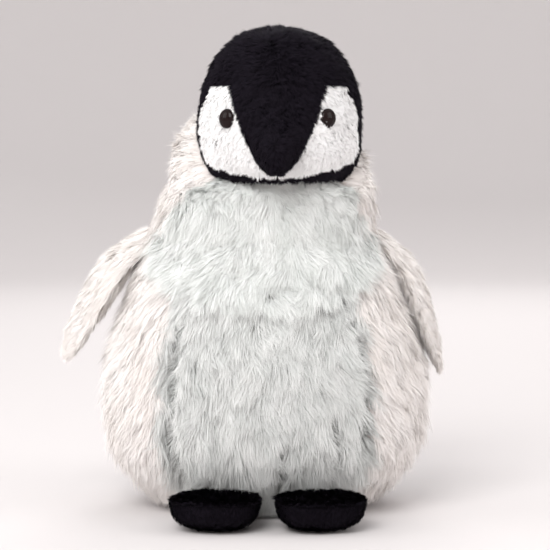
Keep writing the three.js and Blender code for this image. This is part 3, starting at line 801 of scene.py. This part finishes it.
for name, side in (("left", 1), ("right", -1)):
    seat, across, up = (
        head_placed(head_local(np.array(side * a), np.array(float(h)), 0.0))
        for a, h in ((eye_azimuth, eye_height), (eye_azimuth + 2, eye_height), (eye_azimuth, eye_height + 2))
    )
    facing = unit(np.cross(across - seat, up - seat) * side)
    form = bmesh.new()
    spin = 40
    angles = [2 * math.pi * k / spin for k in range(spin)]
    rings = [
        [form.verts.new((r * math.cos(a) * MM, r * math.sin(a) * MM, z * MM)) for a in angles]
        for r, z in eye_outline
    ]
    for low, high in zip(rings, rings[1:]):
        for k in range(spin):
            form.faces.new((low[k], low[(k + 1) % spin], high[(k + 1) % spin], high[k]))
    bmesh.ops.remove_doubles(form, verts=form.verts[:], dist=1e-7)
    bmesh.ops.recalc_face_normals(form, faces=form.faces[:])
    for f in form.faces:
        f.smooth = True
    eye_mesh = bpy.data.meshes.new(f"{name}_eye_button")
    form.to_mesh(eye_mesh)
    form.free()
    turn = Vector((0, 0, 1)).rotation_difference(Vector(facing)).to_matrix().to_4x4()
    turn.translation = Vector((seat + facing * eye_proud) * MM)
    eye_mesh.transform(turn)
    eye_mesh.materials.append(eye_gloss)
    eye = bpy.data.objects.new(f"{name}_eye_button", eye_mesh)
    scene.collection.objects.link(eye)
    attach(eye, "head")
    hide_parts(f"{name}_eye")

# ---------------------------------------------------------------------------------------
# Neck: a throat panel under the chin and a nape panel that stands up behind the head like
# a hood. The same pile as the body, turned over at the rim so that it meets the head.
# ---------------------------------------------------------------------------------------

neck_bottom = 149.5
neck_throat_top = 159
neck_nape_top = 206
neck_half_bottom = 55.5
neck_half_top = 51.5
neck_round_from = 182
neck_rounding = 60
neck_seam = 60
neck_lean = 2.5
neck_rim_share = 0.72  # share of the panel that is outside the rim
neck_tuck = 5  # how far the folded edge goes under the head's pile
chin_tuck = 12  # and deeper still under the chin, which stands out in front of the neck
neck_roll = 0.6  # how far the fold stands up
rim_tilt = 9  # the hood's rim is lower on one side of the tilted head
chin_height = 165.5


def neck_rim(azimuth):
    away_from_front = np.minimum(np.abs(azimuth), 360 - np.abs(azimuth))
    rise = eased(away_from_front, 40, 125)
    side = np.sin(np.radians(azimuth))
    tilt = rim_tilt * rise * side ** 2 * (1 + side)
    return neck_throat_top + (neck_nape_top - neck_throat_top) * rise - tilt


def nape_length(roots):
    """Long over the shoulders and shorter towards the rim, so that the hood stays close to the head."""
    full = 18 - 5 * eased(roots[:, 2], 150, 160) - 6.5 * eased(roots[:, 2], 160, 198)
    return full * (1 + 0.22 * wander(roots, 14, 16))


def throat_length(roots):
    return 18 - 10 * eased(roots[:, 2], 152, chin_height)


def neck_wall(azimuth, height):
    """The outside of the neck's ring at a height."""
    turn = np.radians(azimuth)
    over = np.sqrt(1 - (np.maximum(height - neck_round_from, 0) / neck_rounding) ** 2)
    narrowing = (neck_half_top - neck_half_bottom) * eased(height, neck_bottom, neck_round_from)
    half = (neck_half_bottom + narrowing) * over
    behind = (46.6 + 4.9 * eased(height, neck_bottom, 190)) * over
    depth = np.where(np.cos(turn) > 0, half * body_front_depth, behind)
    lean = neck_lean * eased(height, neck_bottom, 170)
    return half, depth, lean


def neck_face(start, end):
    """Up the outside of the ring, over its rim and in to the head, whose skin it touches."""
    def face(u, v, inset):
        azimuth = start + (end - start) * u
        turn = np.radians(azimuth)
        rim = np.maximum(neck_rim(azimuth), chin_height)
        climb = np.minimum(v / neck_rim_share, 1)
        fold = np.clip((v - neck_rim_share) / (1 - neck_rim_share), 0, 1)
        height = neck_bottom + (rim - neck_bottom) * climb
        half, depth, lean = neck_wall(azimuth, height)
        across = lean + (half - inset) * np.sin(turn)
        wall = np.stack([across, -(depth - inset) * np.cos(turn), height + 0 * u], -1)
        front = 1 - eased(np.minimum(azimuth % 360, -azimuth % 360), 35, 80)
        skin = head_placed(head_local(azimuth, rim + 1.5, neck_tuck + chin_tuck * front))
        meet = wall + (skin - wall) * (1 - np.cos(fold * math.pi / 2))[..., None]
        meet[..., 2] += neck_roll * np.sin(fold * math.pi) - inset * np.minimum(fold * 3, 1)
        return meet
    return face


def neck_comb(roots):
    """Down the outside, and in towards the head on the rim."""
    side = np.arctan2(roots[:, 0] - neck_lean, -roots[:, 1])
    out = np.stack([np.sin(side), -np.cos(side), np.zeros(len(roots))], -1)
    azimuth = np.degrees(side)
    rim = np.maximum(neck_rim(azimuth), chin_height)
    near = eased(roots[:, 2], rim - 9, rim)
    around = np.stack([np.cos(side), np.sin(side), np.zeros(len(roots))], -1)
    swirl = around * (0.35 * wander(roots, 40, 15))[:, None]
    return np.array([0, 0, -1.0]) * (1 - 0.85 * near)[:, None] + out * (0.55 * near)[:, None] + swirl


def join_neck(piece, node):
    """Hides the frame's part that the piece stands for and bakes its placement into its mesh."""
    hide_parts(node)
    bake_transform(piece)


throat = plush("throat_plush", neck_face(-neck_seam, neck_seam), (48, 16), 40000, throat_length, neck_comb,
               bib_pile, seed=8)
join_neck(throat, "throat_panel")
nape = plush("nape_plush", neck_face(neck_seam, 360 - neck_seam), (72, 30), 60000, nape_length,
             neck_comb, pale_pile, seed=9)
join_neck(nape, "nape_panel")

# ---------------------------------------------------------------------------------------
# Flippers: two pale panels each, lightly filled and curved along the body. Their roots are
# gathered into the shoulder seam and their pile is combed to the tip.
# ---------------------------------------------------------------------------------------

flipper_hinge = np.array([61.0, 0.0, 146.0])
flipper_splay = {"left": 22, "right": 33}
flipper_turn = {"left": 8, "right": 24}
flipper_half_length = 41
flipper_drop = 38
flipper_half_chord = 15
flipper_taper = 1
flipper_half_thickness = 4.6
flipper_curl = 2.5
flipper_root_tuck = 7  # how far in towards the body it is caught
flipper_root_pinch = 0.35  # the root is gathered into the shoulder


def limb_outline(turn, half_length, half_chord, taper, roundness):
    angle = turn * 2 * math.pi

    def curve(value):
        return np.sign(value) * np.abs(value) ** roundness

    return curve(np.sin(angle)) * (half_chord + taper * np.cos(angle)), curve(np.cos(angle)) * half_length


def flipper_place(name, side, local):
    """From a flipper's own frame, hanging straight down, to where it hangs."""
    turn, splay = -side * math.radians(flipper_turn[name]), -side * math.radians(flipper_splay[name])
    x, y, z = local[..., 0] * side, local[..., 1], local[..., 2]
    x, y = x * math.cos(turn) - y * math.sin(turn), x * math.sin(turn) + y * math.cos(turn)
    x, z = x * math.cos(splay) + z * math.sin(splay), -x * math.sin(splay) + z * math.cos(splay)
    return np.stack([x, y, z], -1) + flipper_hinge * np.array([side, 1, 1])


def flipper_face(name, side, outer):
    def face(u, v, inset):
        chord, length = limb_outline(u, flipper_half_length, flipper_half_chord, flipper_taper, 0.72)
        reach = v * (1 - inset / flipper_half_length * 0.6)
        along = length * reach
        chord = chord * (1 - flipper_root_pinch * eased(along, -10, flipper_half_length))
        full = 0.6 + (flipper_half_thickness - 0.6) * (1 - v ** 2.4) - inset * 0.8
        curl = flipper_curl * (1 - (along / flipper_half_length) ** 2)
        curl = curl - flipper_root_tuck * eased(along, 8, flipper_half_length)
        return flipper_place(name, side, np.stack([
            (full if outer else -full) + curl, chord * reach, along - flipper_drop,
        ], -1))
    return face


for name, side, seed in (("left", 1, 40), ("right", -1, 44)):
    tip = flipper_place(name, side, np.array([0.0, 0.0, -1.0])) - flipper_place(name, side, np.zeros(3))

    def limb_comb(roots, tip=tip):
        return tip + 0.25 * np.stack([wander(roots, 20, 51), wander(roots, 20, 52), 0 * roots[:, 0]], -1)

    def limb_length(roots, top=flipper_hinge[2]):
        return 7.5 + 6 * np.clip((roots[:, 2] - top + 45) / 45, 0, 1)

    limb = dict(depth=1.8, lock=2.2, rise=0.6, bend=0.32, swing=11, ruffle=0.14)
    outer = plush(f"{name}_flipper_outer_plush", flipper_face(name, side, True), (40, 10), 26000,
                  limb_length, limb_comb, pale_pile, seed=seed, **limb)
    sewn(outer, f"{name}_flipper", "pale_plush", f"{name}_flipper_outer", fill=0.4)
    inner = plush(f"{name}_flipper_inner_plush", flipper_face(name, side, False), (40, 10), 22000,
                  limb_length, limb_comb, pale_pile, seed=seed + 1, **limb)
    sewn(inner, f"{name}_flipper", "grey_plush", f"{name}_flipper_inner", fill=0.4)

# ---------------------------------------------------------------------------------------
# Feet: black paddles of short pile, a low domed top sewn high up to a rounded sole, and
# caught in the seam under the front of the belly.
# ---------------------------------------------------------------------------------------

foot_centre = {"left": 27, "right": -24}
foot_forward = -71
foot_half_width = 23.5
foot_half_length = 20.5
foot_height = 17.5
foot_seam_height = 14.5
foot_toe_out = 8
foot_top_hair = 3.2
foot_sole_hair = 2.2


def foot_face(name, side, upper):
    centre = np.array([foot_centre[name], foot_forward, 0.0])
    toe = side * math.radians(foot_toe_out)

    def face(u, v, inset):
        across, along = limb_outline(u, foot_half_length, foot_half_width, 1.5, 0.8)
        reach = v * (1 - inset / foot_half_length)
        across, along = across * reach, -along * reach
        if upper:
            height = foot_seam_height + (foot_height - foot_seam_height - inset) * (1 - v ** 3) ** 0.5
        else:
            height = foot_seam_height - (foot_seam_height - inset) * (1 - v ** 3.4) ** 0.5
        x = across * math.cos(toe) - along * math.sin(toe)
        y = across * math.sin(toe) + along * math.cos(toe)
        return np.stack([x, y, height + 0 * u], -1) + centre
    return face


def foot_comb(roots):
    swirl = np.stack([wander(roots, 12, 61), wander(roots, 12, 62), 0 * roots[:, 0]], -1)
    return np.array([0, -0.7, -0.7]) + 0.2 * swirl


for name, side, seed in (("left", 1, 60), ("right", -1, 64)):
    foot_style = {**short, "depth": 1.5}
    top = plush(f"{name}_foot_top_plush", foot_face(name, side, True), (40, 12), 13000, foot_top_hair,
                foot_comb, black_pile, seed=seed, **foot_style)
    sewn(top, f"{name}_foot", "black_plush", f"{name}_foot_top", fill=0.6)
    sole = plush(f"{name}_foot_sole_plush", foot_face(name, side, False), (40, 12), 9000, foot_sole_hair,
                 foot_comb, black_pile, seed=seed + 1, **foot_style)
    sewn(sole, f"{name}_foot", "black_plush", f"{name}_foot_sole", fill=0.6)

# ---------------------------------------------------------------------------------------
# Tail: a short flat tab of the body's pile, sewn in low at the back.
# ---------------------------------------------------------------------------------------

tail_place = np.array([0.0, 75.0, 17.0])
tail_half_width = 15
tail_half_length = 12.5
tail_half_thickness = 3.6
tail_droop = math.radians(22)
tail_hair = 8


def tail_face(upper):
    def face(u, v, inset):
        across, along = limb_outline(u, tail_half_length, tail_half_width - 5, -5, 0.85)
        reach = v * (1 - inset / tail_half_length)
        across, along = across * reach, along * reach
        full = 0.5 + (tail_half_thickness - 0.5) * (1 - v * v) - inset * 0.8
        z = full if upper else -full
        y_turned = along * math.cos(tail_droop) + z * math.sin(tail_droop)
        z_turned = -along * math.sin(tail_droop) + z * math.cos(tail_droop)
        return np.stack([across, y_turned, z_turned], -1) + tail_place
    return face


def tail_comb(roots):
    return np.array([0, 1, -0.45]) + np.stack([0.03 * roots[:, 0], 0 * roots[:, 0], 0 * roots[:, 0]], -1)


tail_style = dict(depth=1.4, lock=2.4, rise=0.4, bend=0.2, swing=10)
for part, upper, seed in (("top", True, 70), ("underside", False, 71)):
    tail = plush(f"tail_{part}_plush", tail_face(upper), (30, 8), 5000, tail_hair, tail_comb, grey_pile,
                 seed=seed, **tail_style)
    sewn(tail, "tail", "grey_plush", f"tail_{part}", fill=0.4)

# ---------------------------------------------------------------------------------------
# Hidden and small pieces: wadding and the pellet bag inside, the washers behind the eyes,
# the thread that closes the back, and a blank tape. Their shapes are the frame's own.
# ---------------------------------------------------------------------------------------


def woven_finish(name, low, high, scale, roughness, depth):
    """Fibres or weave seen close: a fine uneven tone with its own bump."""
    finish = bpy.data.materials.new(name)
    finish.use_nodes = True
    nodes, links = finish.node_tree.nodes, finish.node_tree.links
    shader = nodes["Principled BSDF"]
    place = nodes.new("ShaderNodeTexCoord")
    fibre = nodes.new("ShaderNodeTexNoise")
    fibre.inputs["Scale"].default_value = scale
    fibre.inputs["Detail"].default_value = 6
    links.new(place.outputs["Object"], fibre.inputs["Vector"])
    ramp = nodes.new("ShaderNodeValToRGB")
    ramp.color_ramp.elements[0].color = (*low, 1)
    ramp.color_ramp.elements[1].color = (*high, 1)
    links.new(fibre.outputs["Fac"], ramp.inputs["Fac"])
    links.new(ramp.outputs["Color"], shader.inputs["Base Color"])
    bump = nodes.new("ShaderNodeBump")
    bump.inputs["Strength"].default_value = 0.5
    bump.inputs["Distance"].default_value = depth
    links.new(fibre.outputs["Fac"], bump.inputs["Height"])
    links.new(bump.outputs["Normal"], shader.inputs["Normal"])
    shader.inputs["Roughness"].default_value = roughness
    return finish


def refinish(nodes, finish):
    for node in nodes:
        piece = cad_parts[node]
        piece.data.materials.clear()
        piece.data.materials.append(finish)


refinish([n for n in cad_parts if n.endswith(("stuffing", "filling"))],
         woven_finish("wadding", (0.8, 0.8, 0.78), (0.95, 0.95, 0.93), 260, 1.0, 0.0008))
refinish(["pellet_bag"],
         woven_finish("pellet_cloth", (0.55, 0.52, 0.46), (0.72, 0.69, 0.62), 1400, 0.9, 0.0002))
refinish(["left_eye_washer", "right_eye_washer"],
         woven_finish("washer_plastic", (0.75, 0.75, 0.72), (0.85, 0.85, 0.82), 400, 0.45, 0.0001))
refinish(["closing_stitch"],
         woven_finish("thread", (0.55, 0.56, 0.54), (0.78, 0.78, 0.75), 3000, 0.7, 0.0001))
refinish(["care_label"],
         woven_finish("satin_tape", (0.86, 0.85, 0.83), (0.94, 0.93, 0.92), 2600, 0.45, 0.00005))
